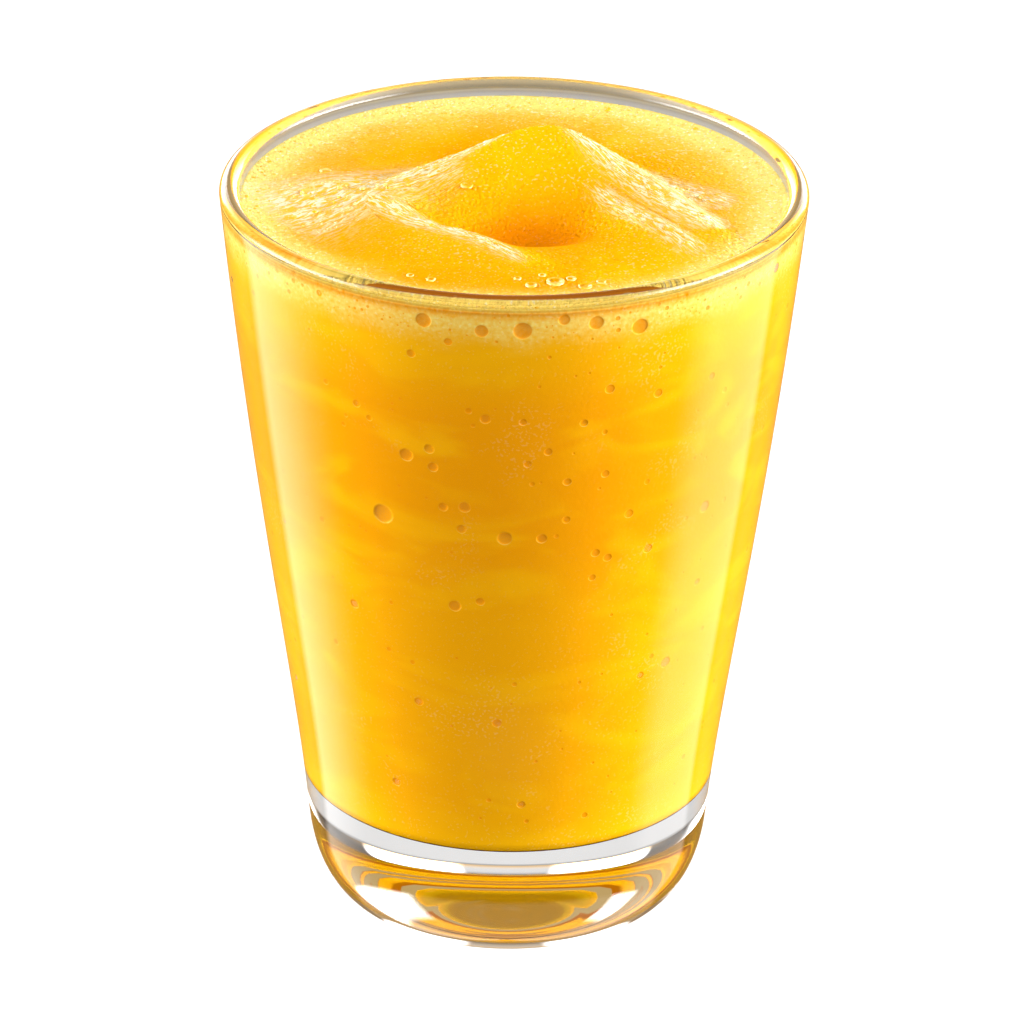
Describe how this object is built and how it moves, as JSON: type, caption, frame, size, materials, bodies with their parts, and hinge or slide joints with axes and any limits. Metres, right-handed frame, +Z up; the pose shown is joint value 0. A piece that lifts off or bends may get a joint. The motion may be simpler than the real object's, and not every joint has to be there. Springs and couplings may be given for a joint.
{
  "type": "mango smoothie in a glass",
  "caption": "Thick mango smoothie filled to just under the rim of a clear, heavy-based tapered glass, its whipped surface drawn up into a soft peak and folds.",
  "frame": {"origin": "centre of the glass's foot, on the surface it stands on", "axes": "+Z up along the glass's axis; -Y towards the viewer of the picture, +X to the viewer's right"},
  "size_m": [0.088, 0.088, 0.1206],
  "materials": {
    "clear_glass": "clear polished glass",
    "mango_smoothie": "wet, thick, aerated fruit puree"
  },
  "bodies": {
    "root": {"glass_tumbler": "clear_glass", "mango_smoothie": "mango_smoothie"}
  },
  "joints": []
}
